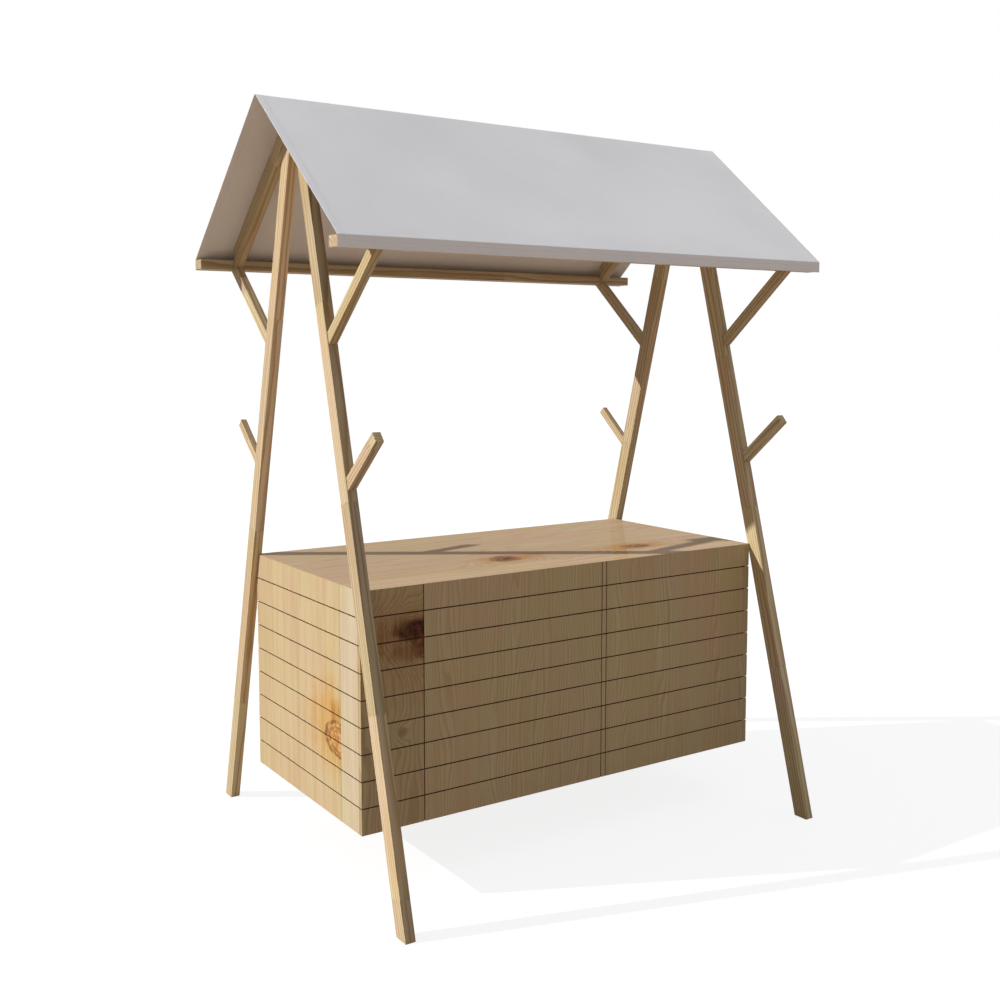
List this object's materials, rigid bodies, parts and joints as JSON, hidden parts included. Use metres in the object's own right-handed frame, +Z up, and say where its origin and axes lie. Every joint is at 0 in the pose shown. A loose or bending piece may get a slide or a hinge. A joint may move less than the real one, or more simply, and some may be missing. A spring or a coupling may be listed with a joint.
{
  "type": "wooden market stall",
  "caption": "Free-standing wooden market stall: a grooved box counter held between leaning A-frame legs under a pitched canvas roof.",
  "frame": {"origin": "on the ground, under the middle of the stall", "axes": "+Z up, -Y out of the serving side towards the customer, X along the counter"},
  "size_m": [1.896, 1.3868, 2.4403],
  "materials": {
    "pine": "planed pine, lightly oiled",
    "counter_boards": "planed pine, lightly oiled",
    "varnished_top": "glossy varnished pine",
    "canvas": "plain off-white canvas, taut"
  },
  "bodies": {
    "root": {"front_left_leg": "pine", "front_left_rafter": "pine", "front_left_brace": "pine", "front_left_peg": "pine", "front_right_leg": "pine", "front_right_rafter": "pine", "front_right_brace": "pine", "front_right_peg": "pine", "back_left_leg": "pine", "back_left_rafter": "pine", "back_left_brace": "pine", "back_left_peg": "pine", "back_right_leg": "pine", "back_right_rafter": "pine", "back_right_brace": "pine", "back_right_peg": "pine", "front_eave_rail": "pine", "back_eave_rail": "pine", "ridge_beam": "pine", "canvas_roof": "canvas", "front_corner_board": "counter_boards", "front_middle_board": "counter_boards", "front_right_board": "counter_boards", "back_corner_board": "counter_boards", "back_right_board": "counter_boards", "back_left_board": "counter_boards", "divider": "counter_boards", "left_end_narrow_board": "counter_boards", "left_end_wide_board": "counter_boards", "right_end_narrow_board": "counter_boards", "right_end_wide_board": "counter_boards", "floor_board_left": "counter_boards", "floor_board_right": "counter_boards", "top_front_board": "varnished_top", "top_main_board": "varnished_top"}
  },
  "joints": []
}
